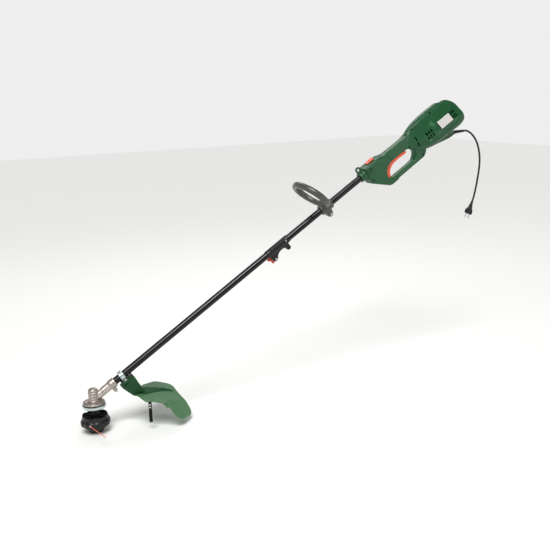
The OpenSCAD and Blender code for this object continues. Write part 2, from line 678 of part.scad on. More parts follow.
// Plug: a flat two-pin body whose face looks along its own +z
plug_lean = atan2(-50, -22);
module at_plug() { translate([588, 0, -178]) rotate([0, 90 - plug_lean, 0]) children(); }
plug_neck = 15;
plug_face = 56;
module plug_body() color("#1b1b1b") at_plug() {
    rotate_extrude() polygon([[0, 0], [5, 0], [6.5, plug_neck + 2], [0, plug_neck + 2]]);
    side(-7, 7) polygon([[-5, plug_neck], [5, plug_neck], [8, 24], [12, 32], [18.3, 40], [18.3, 50],
        [15, plug_face], [-15, plug_face], [-18.3, 50], [-18.3, 40], [-12, 32], [-8, 24]]);
}
module plug_pins() color(steel) at_plug()
    for (x = [-9.3, 9.3]) translate([x, 0, plug_face]) cylinder(h = 19, r = 2);

gearcase();
gearcase_clamp_screw();
grease_plug();
arbor();
arbor_bearings();
pinion();
driven_gear();
pinion_bearings();
wrap_plate();
head_housing();
head_cover();
line_eyelets();
cutting_lines();
spool();
line_winding();
bump_knob();
bump_spring();
arbor_nut();
guard_arm();
guard_skirt();
guard_clamp();
guard_screws();
line_cutter();
cutter_screws();
lower_tube();
lower_drive_shaft();
lower_bushings();
upper_tube();
upper_drive_shaft();
upper_bushings();
coupler();
coupler_bolt();
coupler_knob();
release_pin();
release_spring();
loop_handle();
handle_clamp();
handle_bolt();
nose_collar();
left_shell();
right_shell();
housing_screws();
side_cap();
label_plate();
trigger();
trigger_pin();
trigger_spring();
lock_slider();
switch();
flex_shaft();
rotor();
stator();
motor_bearings();
bearing_plates();
brushes();
fan();
strain_relief();
power_cord();
plug_body();
plug_pins();
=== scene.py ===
from math import atan2, cos, hypot, pi, radians, sin

import bmesh
import bpy
from mathutils import Matrix, Vector


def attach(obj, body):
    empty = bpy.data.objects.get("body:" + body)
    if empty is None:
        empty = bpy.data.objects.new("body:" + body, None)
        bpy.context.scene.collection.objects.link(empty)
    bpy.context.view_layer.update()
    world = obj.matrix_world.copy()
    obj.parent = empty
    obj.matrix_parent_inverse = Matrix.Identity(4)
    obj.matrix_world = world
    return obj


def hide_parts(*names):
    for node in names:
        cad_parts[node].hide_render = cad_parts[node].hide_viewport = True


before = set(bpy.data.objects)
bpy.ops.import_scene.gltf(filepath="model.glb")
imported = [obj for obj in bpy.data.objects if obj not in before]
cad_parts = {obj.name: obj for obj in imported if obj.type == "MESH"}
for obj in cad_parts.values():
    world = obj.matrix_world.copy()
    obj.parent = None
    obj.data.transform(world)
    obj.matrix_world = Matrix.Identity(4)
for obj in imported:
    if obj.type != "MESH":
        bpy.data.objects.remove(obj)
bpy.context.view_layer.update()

# Corded string trimmer. Objects are in metres in the row frame, and shapes are drawn in millimetres in one
# of these frames: upright at the line head, along the shaft from the head, or lying along a part's own axis.
slope = radians(31.5)
eye_at = Vector((1319 * cos(slope) - 32 * sin(slope), 0, 1319 * sin(slope) + 32 * cos(slope)))
row_frame = Matrix.Scale(0.001, 4)
head_frame = row_frame @ Matrix.Translation(-eye_at)
shaft_frame = head_frame @ Matrix.Rotation(-slope, 4, "Y")
to_x = Matrix.Rotation(pi / 2, 4, "Y")
to_y = Matrix.Rotation(-pi / 2, 4, "X")
to_near = to_y.inverted()
along_shaft = shaft_frame @ to_x
# Radii of the holes for the 26 mm tubes, by how freely each part moves on them
tight_bore, shell_bore, sliding_bore = 13.02, 13.06, 13.08


def lying(x, z, towards_x, towards_z):
    """Frame at a point of the shaft's plane whose own z looks along the given direction"""
    turn = pi / 2 - atan2(towards_z, towards_x)
    return row_frame @ Matrix.Translation((x, 0, z)) @ Matrix.Rotation(turn, 4, "Y")


# ---------- camera ----------

camera = bpy.data.objects.new("camera", bpy.data.cameras.new("camera"))
camera.data.lens = 50
camera.data.sensor_width = 36
camera.matrix_world = Matrix((
    (0.88576, 0.13517, -0.44403, -1.6747),
    (-0.46332, 0.20054, -0.86320, -2.5177),
    (-0.02764, 0.97032, 0.24026, 0.3303),
    (0, 0, 0, 1),
))
bpy.context.scene.collection.objects.link(camera)
bpy.context.scene.camera = camera

# ---------- materials ----------


def colour(code):
    """sRGB hex to linear"""
    parts = [int(code[i:i + 2], 16) / 255 for i in (1, 3, 5)]
    return [p / 12.92 if p <= 0.04045 else ((p + 0.055) / 1.055) ** 2.4 for p in parts] + [1]


def add(mat, kind, inputs, **settings):
    """One node with its settings. An input that is a socket is linked, and any other value is set"""
    node = kind if isinstance(kind, bpy.types.Node) else mat.node_tree.nodes.new(kind)
    for key, value in settings.items():
        setattr(node, key, value)
    for key, value in inputs.items():
        if isinstance(value, bpy.types.NodeSocket):
            mat.node_tree.links.new(value, node.inputs[key])
        else:
            node.inputs[key].default_value = value
    return node


def surface(name):
    """A new material, its shader and the place on the piece that its patterns follow"""
    mat = bpy.data.materials.new(name)
    mat.use_nodes = True
    where = add(mat, "ShaderNodeTexCoord", {}).outputs["Object"]
    return mat, mat.node_tree.nodes["Principled BSDF"], where


def per_mm(size):
    """Scale of a noise or Voronoi pattern whose features are this many millimetres across"""
    return 1000 / size


def moulded(name, base, shade, worn, grain, rough, depth, **shader):
    """Injection-moulded plastic: slow tone drift from the melt flow, spark-eroded grain, and rubbed edges"""
    mat, bsdf, where = surface(name)
    flow = add(mat, "ShaderNodeTexNoise", {"Vector": where, "Scale": per_mm(45), "Detail": 3.0})
    pits = add(mat, "ShaderNodeTexNoise", {"Vector": where, "Scale": per_mm(grain), "Detail": 4.0,
                                           "Roughness": 0.6})
    tone = add(mat, "ShaderNodeMix", {0: flow.outputs[0], 6: colour(base), 7: colour(shade)},
               data_type="RGBA")
    edge = add(mat, "ShaderNodeNewGeometry", {})
    rubbed = add(mat, "ShaderNodeMapRange", {"Value": edge.outputs["Pointiness"], "From Min": 0.53,
                                             "From Max": 0.64, "To Max": 0.4})
    skin = add(mat, "ShaderNodeMix", {0: rubbed.outputs[0], 6: tone.outputs[2], 7: colour(worn)},
               data_type="RGBA")
    gloss = add(mat, "ShaderNodeMapRange", {"Value": pits.outputs[0], "From Min": 0.3, "From Max": 0.7,
                                            "To Min": rough - 0.07, "To Max": rough + 0.09})
    bump = add(mat, "ShaderNodeBump", {"Height": pits.outputs[0], "Strength": depth, "Distance": 0.00015})
    add(mat, bsdf, {"Base Color": skin.outputs[2], "Roughness": gloss.outputs[0],
                    "Normal": bump.outputs[0], "IOR": 1.53, **shader})
    return mat


def metal(name, base, shade, grain, rough, depth, stretch=(1, 1, 1), **shader):
    """Bare or plated metal: mottled tone and a cast, brushed or turned surface from stretched noise"""
    mat, bsdf, where = surface(name)
    along = add(mat, "ShaderNodeMapping", {"Vector": where, "Scale": stretch})
    cloud = add(mat, "ShaderNodeTexNoise", {"Vector": where, "Scale": per_mm(22), "Detail": 4.0})
    fine = add(mat, "ShaderNodeTexNoise", {"Vector": along.outputs[0], "Scale": per_mm(grain),
                                           "Detail": 5.0, "Roughness": 0.65})
    tone = add(mat, "ShaderNodeMix", {0: cloud.outputs[0], 6: colour(base), 7: colour(shade)},
               data_type="RGBA")
    gloss = add(mat, "ShaderNodeMapRange", {"Value": fine.outputs[0], "From Min": 0.3, "From Max": 0.7,
                                            "To Min": rough - 0.08, "To Max": rough + 0.1})
    bump = add(mat, "ShaderNodeBump", {"Height": fine.outputs[0], "Strength": depth, "Distance": 0.0002})
    add(mat, bsdf, {"Base Color": tone.outputs[2], "Roughness": gloss.outputs[0], "Metallic": 1.0,
                    "Normal": bump.outputs[0], **shader})
    return mat


# ABS with a spark-eroded satin skin. Real grain is about 0.3 mm, and it is drawn at 1.1 mm so that it shows
green_abs = moulded("moulded green ABS", "#124f2a", "#0b3f1f", "#558a66", 1.1, 0.34, 0.22,
                    **{"Specular IOR Level": 0.35})
# Polypropylene in the same green, with the duller, slightly waxy skin of the material
green_pp = moulded("moulded green polypropylene", "#03421a", "#023413", "#256e3c", 1.4, 0.40, 0.18,
                   **{"Specular IOR Level": 0.3})
# Thin-walled translucent polypropylene: light coming through makes the wings paler than the arm
sage_pp = moulded("thin translucent polypropylene", "#4c7650", "#3a6440", "#8fae8c", 1.6, 0.42, 0.16,
                  **{"Specular IOR Level": 0.35, "Subsurface Weight": 0.15,
                     "Subsurface Radius": (0.004, 0.006, 0.004)})
# Glass-filled nylon: black, with a dry satin skin where the fibres lie just under it
black_nylon = moulded("glass-filled black nylon", "#0e0d0c", "#080707", "#3c3936", 1.0, 0.36, 0.3,
                      **{"Specular IOR Level": 0.35})
# Soft grip plastic, grey with an olive cast
grey_grip = moulded("grey moulded grip plastic", "#484842", "#3b3b36", "#8a8a82", 1.2, 0.33, 0.25)
# ABS with a polished mould: clear highlights on the parts that fingers press
orange_abs = moulded("polished orange ABS", "#e4572c", "#d84a22", "#f39a78", 1.5, 0.26, 0.08)
red_nylon = moulded("moulded red nylon", "#dd3a20", "#c72c16", "#f08a70", 1.3, 0.3, 0.12)
# PVC of the cord, its relief and the plug: supple, with a slight bloom
black_pvc = moulded("black PVC", "#0f0f0f", "#090909", "#303030", 1.2, 0.42, 0.15,
                    **{"Specular IOR Level": 0.35})
# Extruded nylon line, clear enough that light carries into it
nylon_line = moulded("orange nylon monofilament", "#e07a58", "#d2613d", "#f0a98e", 0.9, 0.24, 0.05,
                     **{"Subsurface Weight": 0.3, "Subsurface Radius": (0.004, 0.002, 0.001)})

# Aluminium die casting, shot blasted: pale, faintly warm, with a fine pitted skin drawn at 1.2 mm to show
cast_alu = metal("shot-blasted cast aluminium", "#bcb3ab", "#a0978f", 1.2, 0.42, 0.4)
# Bright zinc plating over spun or bent steel: cool and nearly mirror smooth
zinc = metal("bright zinc-plated steel", "#c9d6d3", "#b4c2c0", 3.0, 0.22, 0.06)
# Turned steel: fine rings round the shaft, here a stretched noise
turned_steel = metal("turned steel", "#c2c2be", "#a9a9a5", 1.0, 0.28, 0.1, stretch=(3, 0.4, 0.4))
# Black-oxide spring steel of the blade, ground along its length
black_steel = metal("black-oxide steel", "#2a2927", "#1c1b1a", 1.0, 0.36, 0.15, stretch=(2, 2, 0.2))
dark_screw = metal("phosphated screw steel", "#3b3b39", "#2a2a28", 0.8, 0.4, 0.15)
copper = metal("lacquered copper winding", "#b06a3c", "#8c4f2a", 0.8, 0.35, 0.6, stretch=(6, 0.5, 0.5))
laminations = metal("stacked electrical steel", "#6a6865", "#545250", 0.7, 0.45, 0.6, stretch=(8, 0.3, 0.3))
brass = metal("machined brass", "#c09a52", "#a98340", 1.0, 0.3, 0.1)


def powder_coat():
    """Black powder coat on the tubes: deep gloss over the slow ripple of orange peel"""
    mat, bsdf, where = surface("gloss black powder coat")
    peel = add(mat, "ShaderNodeTexNoise", {"Vector": where, "Scale": per_mm(3.2), "Detail": 2.0})
    smear = add(mat, "ShaderNodeTexNoise", {"Vector": where, "Scale": per_mm(60), "Detail": 3.0})
    tone = add(mat, "ShaderNodeMix", {0: smear.outputs[0], 6: colour("#060505"), 7: colour("#0c0b0a")},
               data_type="RGBA")
    gloss = add(mat, "ShaderNodeMapRange", {"Value": smear.outputs[0], "From Min": 0.3, "From Max": 0.7,
                                            "To Min": 0.12, "To Max": 0.2})
    bump = add(mat, "ShaderNodeBump", {"Height": peel.outputs[0], "Strength": 0.12, "Distance": 0.0002})
    add(mat, bsdf, {"Base Color": tone.outputs[2], "Roughness": gloss.outputs[0], "IOR": 1.52,
                    "Normal": bump.outputs[0], "Specular IOR Level": 0.3})
    return mat


def film():
    """Blank rating film: off-white polyester with a faint rub and its own thin gloss"""
    mat, bsdf, where = surface("white polyester film")
    rub = add(mat, "ShaderNodeTexNoise", {"Vector": where, "Scale": per_mm(9), "Detail": 5.0})
    tone = add(mat, "ShaderNodeMix", {0: rub.outputs[0], 6: colour("#c9c5c1"), 7: colour("#b6b2ad")},
               data_type="RGBA")
    gloss = add(mat, "ShaderNodeMapRange", {"Value": rub.outputs[0], "To Min": 0.25, "To Max": 0.5})
    add(mat, bsdf, {"Base Color": tone.outputs[2], "Roughness": gloss.outputs[0], "IOR": 1.57})
    return mat


black_coat = powder_coat()
white_film = film()

# ---------- mesh building ----------


def solid(points, faces, place):
    """A mesh object, its points moved into the row frame and its faces turned outward"""
    mesh = bpy.data.meshes.new("solid")
    mesh.from_pydata([place @ Vector(p) for p in points], [], faces)
    form = bmesh.new()
    form.from_mesh(mesh)
    bmesh.ops.remove_doubles(form, verts=form.verts, dist=1e-7)
    bmesh.ops.recalc_face_normals(form, faces=form.faces)
    form.to_mesh(mesh)
    form.free()
    obj = bpy.data.objects.new("solid", mesh)
    bpy.context.scene.collection.objects.link(obj)
    return obj


def loft(rings, place, closed=False):
    """Skin over rings of points, capped at both ends unless it closes on itself"""
    n, count = len(rings[0]), len(rings)
    faces = [
        (i * n + k, i * n + (k + 1) % n, (i + 1) % count * n + (k + 1) % n, (i + 1) % count * n + k)
        for i in range(count if closed else count - 1) for k in range(n)
    ]
    if not closed:
        faces += [tuple(reversed(range(n))), tuple(range(n * (count - 1), n * count))]
    return solid([p for ring in rings for p in ring], faces, place)


def lathe(profile, place, turns=72, shape=None):
    """Closed profile of (radius, height) turned about z. shape bends a point's radius and height by angle"""
    rings = []
    for i in range(turns):
        a = 2 * pi * i / turns
        ring = [shape(r, z, a) if shape else (r, z) for r, z in profile]
        rings.append([(r * cos(a), r * sin(a), z) for r, z in ring])
    return loft(rings, place, closed=True)


def inset(outline, by):
    """An outline moved inward along the bisector of each corner"""
    area = sum(a[0] * b[1] - b[0] * a[1] for a, b in zip(outline, outline[1:] + outline[:1]))
    side, moved = (1 if area > 0 else -1), []
    for i, p in enumerate(outline):
        a, b = Vector(outline[i - 1]), Vector(outline[(i + 1) % len(outline)])
        u, v = (Vector(p) - a).normalized(), (b - Vector(p)).normalized()
        way = Vector((-u.y - v.y, u.x + v.x)) * side
        reach = max(way.length_squared / 2, 0.35)
        moved.append(tuple(Vector(p) + way * by / reach))
    return moved


def slab(outline, levels, place):
    """An outline of (along, up) given thickness across, with an inset at each level (across, inset)"""
    return loft([[(x, y, z) for x, z in inset(outline, by)] for y, by in levels], place)


def rounded(half, soft):
    """Levels of a slab whose edges are rounded over the given radius"""
    arc = [(half - soft + soft * sin(radians(a)), soft - soft * cos(radians(a)))
           for a in (0, 30, 60, 80, 90)]
    return [(-y, by) for y, by in reversed(arc)] + arc


def smooth_line(points, steps, closed=False):
    """Catmull-Rom line through points"""
    pts, n, line = [Vector(p) for p in points], len(points), []
    for i in range(n if closed else n - 1):
        if closed:
            a, b, c, d = (pts[(i + k) % n] for k in (-1, 0, 1, 2))
        else:
            a, b, c, d = (pts[min(max(i + k, 0), n - 1)] for k in (-1, 0, 1, 2))
        for t in (j / steps for j in range(steps)):
            line.append(tuple(0.5 * (2 * b + (c - a) * t + (2 * a - 5 * b + 4 * c - d) * t * t
                                     + (3 * b - a - 3 * c + d) * t ** 3)))
    return line if closed else line + [tuple(pts[-1])]


def circle(x, z, r, count=40):
    return [(x + r * cos(2 * pi * i / count), z + r * sin(2 * pi * i / count)) for i in range(count)]


def post(x, z, y0, y1, r, place, soft=0.0, count=32):
    """Round boss or pin across the part"""
    levels = [(y0, soft), (y0 + soft, 0), (y1 - soft, 0), (y1, soft)] if soft else [(y0, 0), (y1, 0)]
    return slab(circle(x, z, r, count), levels, place)


def box(low, high, place):
    """Block from corner to corner"""
    outline = [(low[0], low[2]), (high[0], low[2]), (high[0], high[2]), (low[0], high[2])]
    return slab(outline, [(low[1], 0), (high[1], 0)], place)


def join(parts):
    """Several solids in one object"""
    form, mesh = bmesh.new(), bpy.data.meshes.new("joined")
    for part in parts:
        form.from_mesh(part.data)
        bpy.data.objects.remove(part)
    form.to_mesh(mesh)
    form.free()
    obj = bpy.data.objects.new("joined", mesh)
    bpy.context.scene.collection.objects.link(obj)
    return obj


def settle(obj):
    """Applies an object's modifiers"""
    graph = bpy.context.evaluated_depsgraph_get()
    mesh = bpy.data.meshes.new_from_object(obj.evaluated_get(graph))
    obj.modifiers.clear()
    obj.data = mesh
    return obj


def fuse(parts, voxel, rounds):
    """One skin over overlapping solids, with the fillets that a mould has where they meet"""
    obj = join(parts)
    skin = obj.modifiers.new("skin", "REMESH")
    skin.mode = "VOXEL"
    skin.voxel_size = voxel * 0.001
    ease = obj.modifiers.new("ease", "SMOOTH")
    ease.factor = 0.5
    ease.iterations = rounds
    return settle(obj)


def touching(one, other):
    """True where the boxes round two solids overlap"""
    spans = [[(min(c), max(c)) for c in zip(*(v.co for v in obj.data.vertices))] for obj in (one, other)]
    return all(a[0] < b[1] and b[0] < a[1] for a, b in zip(*spans))


def carve(obj, cutters):
    """Cuts solids out of an object, in rounds whose cutters stand clear of one another"""
    while cutters:
        batch, later = [], []
        for cutter in cutters:
            (later if any(touching(cutter, other) for other in batch) else batch).append(cutter)
        tool = join(batch)
        cut = obj.modifiers.new("cut", "BOOLEAN")
        cut.operation = "DIFFERENCE"
        cut.solver = "MANIFOLD"
        cut.object = tool
        settle(obj)
        bpy.data.objects.remove(tool)
        cutters = later
    return obj


def piece(obj, name, material, body, *nodes):
    """Names a finished piece, gives it its material and its body, and hides the nodes that it stands for"""
    obj.name = obj.data.name = name
    obj.data.materials.clear()
    obj.data.materials.append(material)
    for face in obj.data.polygons:
        face.use_smooth = True
    obj.data.set_sharp_from_angle(angle=radians(38))
    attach(obj, body)
    if nodes:
        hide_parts(*nodes)
    return obj


# ---------- cord, relief and plug ----------

cord_route = [(528, 126), (540, 126), (553, 122), (567, 114), (580, 103), (593, 88), (604, 70), (612, 50),
              (618, 28), (621, 6), (621.5, -16), (620, -38), (617, -60), (613, -82), (609, -104),
              (604, -125), (599, -145), (594, -162), (588, -178)]
relief_frame = lying(474, 123, 54, 3)
plug_frame = lying(588, -178, -22, -50)

line = bpy.data.curves.new("cord", "CURVE")
line.dimensions = "3D"
line.bevel_depth = 0.004
line.bevel_resolution = 5
line.resolution_u = 6
line.use_fill_caps = True
run = line.splines.new("BEZIER")
run.bezier_points.add(len(cord_route) - 1)
for knot, (x, z) in zip(run.bezier_points, cord_route):
    knot.co = (x / 1000, 0, z / 1000)
    knot.handle_left_type = knot.handle_right_type = "AUTO"
power_cord = bpy.data.objects.new("power_cord_lead", line)
bpy.context.scene.collection.objects.link(power_cord)
line.materials.append(black_pvc)
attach(power_cord, "housing")
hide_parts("power_cord")

# The relief is ribbed so that it bends evenly
relief = [(0, -18), (4.9, -18), (4.9, 6.5), (6.2, 6.8), (7.1, 7.4), (7.1, 9.6)]
for k in range(8):
    z, r = 11 + k * 4.6, 6.9 - k * 0.21
    relief += [(r, z), (r, z + 1.4), (r - 0.9, z + 2.0), (r - 1.0, z + 3.0), (r - 0.2, z + 3.7)]
relief += [(5.2, 50), (5.0, 53.4), (4.3, 54.05), (0, 54.05)]
piece(lathe(relief, relief_frame, 40), "cord_strain_relief", black_pvc, "housing", "strain_relief")

plug_side = [(-4.6, 13), (4.6, 13), (6.5, 20), (8.2, 26), (12.4, 33), (17.4, 39.5), (18.2, 44), (18.2, 50),
             (15.4, 56), (-15.4, 56), (-18.2, 50), (-18.2, 44), (-17.4, 39.5), (-12.4, 33), (-8.2, 26),
             (-6.5, 20)]
plug = fuse([
    lathe([(0, 0.5), (4.6, 0.5), (5.0, 1.4), (5.2, 8), (6.2, 16), (6.2, 20), (0, 20)], plug_frame, 32),
    slab(smooth_line(plug_side[:9], 3) + smooth_line(plug_side[9:], 3), rounded(6.9, 3.4), plug_frame),
], 0.7, 3)
carve(plug, [box((side * 17.6 - 2.2, -9, z), (side * 17.6 + 2.2, 9, z + 1.3), plug_frame)
             for side in (-1, 1) for z in (40.5, 43.5, 46.5)])
plug = piece(plug, "mains_plug", black_pvc, "housing", "plug_body")
pins = join([
    lathe([(0, 55), (2, 55), (2, 73.6), (1.8, 74.5), (1.2, 75), (0, 75)],
          plug_frame @ Matrix.Translation((x, 0, 0)), 24)
    for x in (-9.3, 9.3)
])
pins = piece(pins, "mains_plug_pins", zinc, "housing", "plug_pins")

# ---------- tubes ----------


def tube(name, node, body, start, end):
    """Drawn aluminium tube with turned ends, powder coated"""
    profile = [(12.4, start), (13, start + 0.6), (13, end - 0.6), (12.4, end), (11.6, end), (11.6, start)]
    piece(lathe(profile, along_shaft, 96), name, black_coat, body, node)


tube("lower_shaft_tube", "lower_tube", "lower_unit", 40, 872)
tube("upper_shaft_tube", "upper_tube", "housing", 876, 1390)

# ---------- gear case ----------

boss = [(0, 40.4), (6, 40.2), (10.5, 39.3), (14.2, 37.4), (16.4, 34.4), (17.3, 31), (17.3, 29.9),
        (15.9, 29.2), (15.9, 27.2), (17.5, 26.5), (17.5, 20.4), (16.1, 19.7), (16.1, 17.7),
        (17.6, 17), (17.6, 10.8), (16.3, 10.1), (16.3, 8.1), (17.6, 7.4), (17.6, -2), (19.5, -4),
        (24, -6), (31, -7.2), (31.6, -8.2), (35.6, -8.6), (38, -10), (38.4, -12), (38.2, -14.6),
        (36, -16.4), (0, -16.4)]
neck = [(0, 4), (14.8, 4), (14.8, 40), (15.2, 41), (15.2, 68), (16, 71.4), (16.9, 73.4), (17.3, 76),
        (17.3, 89), (16.9, 92.4), (16, 93.8), (0, 93.8)]
lug = [(69, -14), (70, -25), (71.6, -30.6), (75, -33.9), (79.4, -33.9), (83, -30.6), (84.6, -25), (86, -14)]
gearcase = fuse([
    lathe(boss, head_frame, 72),
    lathe(neck, along_shaft, 72),
    slab(lug, rounded(7.4, 1.6), shaft_frame),
    # casting ribs: one along the top of the neck and one on each of its sides
    box((14, -1.3, 10), (72, 1.3, 16.3), shaft_frame),
    box((16, -16.4, -1.3), (70, 16.4, 1.3), shaft_frame),
    *[box((-1.2, -30, -11), (1.2, 30, -4), head_frame @ Matrix.Rotation(radians(a), 4, "Z"))
      for a in (20, 90, 160)],
], 0.7, 4)
carve(gearcase, [
    lathe([(0, 44), (tight_bore, 44), (tight_bore, 100), (0, 100)], along_shaft, 64),
    box((60, -1.1, -40), (100, 1.1, -12.5), shaft_frame),
    post(77, -28, -12, 12, 2.55, shaft_frame),
])
piece(gearcase, "gear_case_casting", cast_alu, "lower_unit", "gearcase")

# ---------- plate and line head ----------

plate = [(9, -20), (30, -20), (36, -18.6), (39.8, -18.2), (41, -19), (41.4, -21), (41.3, -25), (40, -28.4),
         (36.6, -31.4), (31, -33.4), (26, -33.9), (9, -33.9)]
piece(lathe(plate, head_frame, 96), "anti_wrap_plate", zinc, "line_head", "wrap_plate")


def cup_rim(r, z, a):
    """The rim of the cup dips in six places"""
    dip = max(0, cos(6 * a + 0.6)) ** 0.4
    return (r, z - 3.6 * dip if z > -60 else z)


def lobed(r, z, a):
    """The wide disc is drawn in between eight lobes"""
    if r < 46:
        return r, z
    return r - 2.6 * (0.5 - 0.5 * cos(8 * a)) ** 4, z


cup = [(41.6, -57), (44.6, -57), (45.2, -62), (45.6, -70), (48.4, -73), (51.4, -77), (51.9, -79),
       (51.9, -87.9), (49.8, -87.9), (49.4, -79.4), (46.6, -75.8), (43, -73.4), (14.2, -71.4),
       (14.2, -83.8), (5.1, -83.8), (5.1, -50), (12.6, -50), (13.6, -52), (14.2, -68), (41.4, -68)]
fins = [box((13, -1.1, -70), (43, 1.1, -60.5), head_frame @ Matrix.Rotation(radians(a), 4, "Z"))
        for a in range(0, 360, 45)]
# the two holes in the wall that the line leaves by
line_exits = [head_frame @ Matrix.Rotation(radians(a), 4, "Z") @ Matrix.Translation((38, 0, -80)) @ to_x
              for a in (-124, 56)]
housing_cup = fuse([
    lathe(cup, head_frame, 144, lambda r, z, a: lobed(*cup_rim(r, z, a), a)), *fins,
    *[lathe([(4.6, 3), (6.6, 3), (6.6, 10.4), (5.8, 11.2), (4.6, 11.2)], spot, 32) for spot in line_exits],
], 0.6, 2)
carve(housing_cup, [lathe([(0, 0), (4.1, 0), (4.1, 20), (0, 20)], spot, 32) for spot in line_exits])
piece(housing_cup, "line_head_housing", black_nylon, "line_head", "head_housing")


def stepped(r, z, a):
    """Six broad finger notches in the lower cone"""
    notch = max(0, cos(6 * a)) ** 2
    return (r - 4.5 * notch if 34 < r < 50 and z < -92 else r), z


cone = [(51.9, -88.1), (51.9, -91), (50.4, -92.4), (47, -94.4), (39.6, -99.6), (38.2, -102.6),
        (35.6, -104.4), (29.2, -105.8), (29.2, -103.4), (34.6, -101.6), (37, -97.8), (45.4, -92.6),
        (49.6, -90.4), (49.6, -88.1)]
piece(fuse([lathe(cone, head_frame, 144, lambda r, z, a: lobed(*stepped(r, z, a), a))], 0.6, 2),
      "line_head_cover", black_nylon, "line_head", "head_cover")

knob = [(0, -120.9), (20.5, -120.9), (23.6, -120.3), (26.1, -118.8), (27.5, -116.2), (27.7, -113),
        (27.7, -105), (27, -103.6), (20.4, -101.2), (19.7, -100), (19.7, -78), (17.5, -78),
        (17.5, -110), (0, -110)]
piece(lathe(knob, head_frame, 96, lambda r, z, a: (r - 1.1 * max(0, cos(12 * a)) ** 2
                                                   if r > 26 and -118 < z < -104 else r, z)),
      "bump_feed_knob", black_nylon, "bump_knob", "bump_knob")

# ---------- guard ----------

heel = [(186, 44), (172, 26), (150, 24), (134, 0), (138, -24), (146, -30), (150, -38)]
rim = [(196, 62), (226, 80), (256, 96), (278, 80), (296, 62), (306, 35), (310, 5), (316, -28), (326, -50),
       (331, -63), (331, -76), (322, -90), (306, -104), (288, -119), (275, -127), (263, -130), (252, -128),
       (243, -119), (238, -112), (225, -122), (219, -108), (200, -97), (184, -88), (163, -81), (152, -45)]


def along(points, t):
    """Point at share t of a list of points"""
    u = t * (len(points) - 1)
    i = min(int(u), len(points) - 2)
    return Vector(points[i]).lerp(Vector(points[i + 1]), u - i)


def skirt_height(x, y):
    """The skirt slopes away from the arm, with a sharp fold at its near end and a gentle one far off"""
    out = hypot(x - 150, y)
    u = 0.67 * x - 0.742 * y
    w = min(1, max(0, (0.742 * x + 0.67 * y - 100) / 100))
    # the folds are eased over 10 mm
    past = [0.5 * (u - at + ((u - at) ** 2 + 36) ** 0.5) - 1.2 for at in (231, 175, 247)]
    sharp = 1.15 * max(0, past[0])
    gentle = 0.33 * max(0, past[1]) + 0.7 * max(0, past[2])
    return -5 - 0.09 * out - 0.00045 * out * out + 0.07 * max(0, y) - (1 - w) * sharp - w * gentle


def skirt_sheet(columns, rows, thick):
    """The skirt as a sheet that is thicker along its rim"""
    inner = smooth_line(heel, 6)
    outer = smooth_line(rim, 6)
    top, low = [], []
    for j in range(rows + 1):
        for i in range(columns + 1):
            p = along(inner, i / columns).lerp(along(outer, i / columns), j / rows)
            z = skirt_height(p.x, p.y)
            top.append((p.x, p.y, z))
            low.append((p.x, p.y, z - (thick + 1.0 if j >= rows - 1 else thick)))
    w, n = columns + 1, len(top)
    faces = []
    for j in range(rows):
        for i in range(columns):
            k = j * w + i
            faces += [(k, k + 1, k + w + 1, k + w), (n + k, n + k + w, n + k + w + 1, n + k + 1)]
    edge = ([i for i in range(w)] + [j * w + columns for j in range(1, rows + 1)]
            + [rows * w + i for i in range(columns - 1, -1, -1)] + [j * w for j in range(rows - 1, 0, -1)])
    faces += [(a, n + a, n + b, b) for a, b in zip(edge, edge[1:] + edge[:1])]
    return solid(top + low, faces, head_frame)


ribs = []
for step in range(11):
    spot = along(smooth_line(rim, 6), 0.70 + 0.013 * step).lerp(along(smooth_line(heel, 6), 0.85), 0.13)
    high = skirt_height(spot.x, spot.y)
    ribs.append(box((-1, -3.2, -1.5), (1, 3.2, 1.9), head_frame @ Matrix.Translation((spot.x, spot.y, high))
                    @ Matrix.Rotation(radians(25), 4, "Z")))
skirt = join([skirt_sheet(130, 40, 2.2), *ribs])
piece(skirt, "guard_skirt_wings", sage_pp, "lower_unit", "guard_skirt")

arm_side = [(101, 24), (146, 61.4), (160, 34), (171, 16), (180, 4.6), (184, -4.4), (131, -4.4)]
spine_rings = []
for step in range(15):
    t = step / 14
    x = 172 + 122 * t
    near, far = -34 * (1 - t) - 1.5, 22 * (1 - t) + 1.5
    top = skirt_height(x, 0) + 2.6 + 13 * (1 - t)
    left, right = skirt_height(x, near), skirt_height(x, far)
    spine_rings.append([(x, near, left - 2.8), (x, near, left + 2.6),
                        (x, near * 0.5, (left + top) / 2 + 1.6),
                        (x, -1.5, top), (x, 1.5, top), (x, far * 0.6, top - 2),
                        (x, far, max(right + 2, top - 4)),
                        (x, far, right - 2.8)])
arm = fuse([
    slab(arm_side, rounded(24.8, 4), head_frame),
    box((107, -23.6, -26.6), (145, 23.6, -18.4), shaft_frame),
    loft(spine_rings, head_frame),
], 1.2, 5)
carve(arm, [
    slab([(114, 29), (140, 46), (157, 27), (174, 3), (177, -40), (135, -40), (135, -3)],
         [(-21.5, 0), (21.5, 0)],
         head_frame),
    box((80, -30, -18.05), (180, 30, 40), shaft_frame),
])
piece(arm, "guard_arm_moulding", green_pp, "lower_unit", "guard_arm")

blade_frame = head_frame @ Matrix.Translation((172, -97, -92)) @ Matrix.Rotation(radians(-30), 4, "Z")
blade = slab([(-5.6, 78), (5.6, 78), (5.8, 6), (5.4, 2.6), (-5.8, -0.4), (-6, 10)],
             [(0, 0.5), (0.4, 0), (1.6, 0), (2, 0.5)], blade_frame)
piece(blade, "line_cutting_blade", black_steel, "lower_unit", "line_cutter")

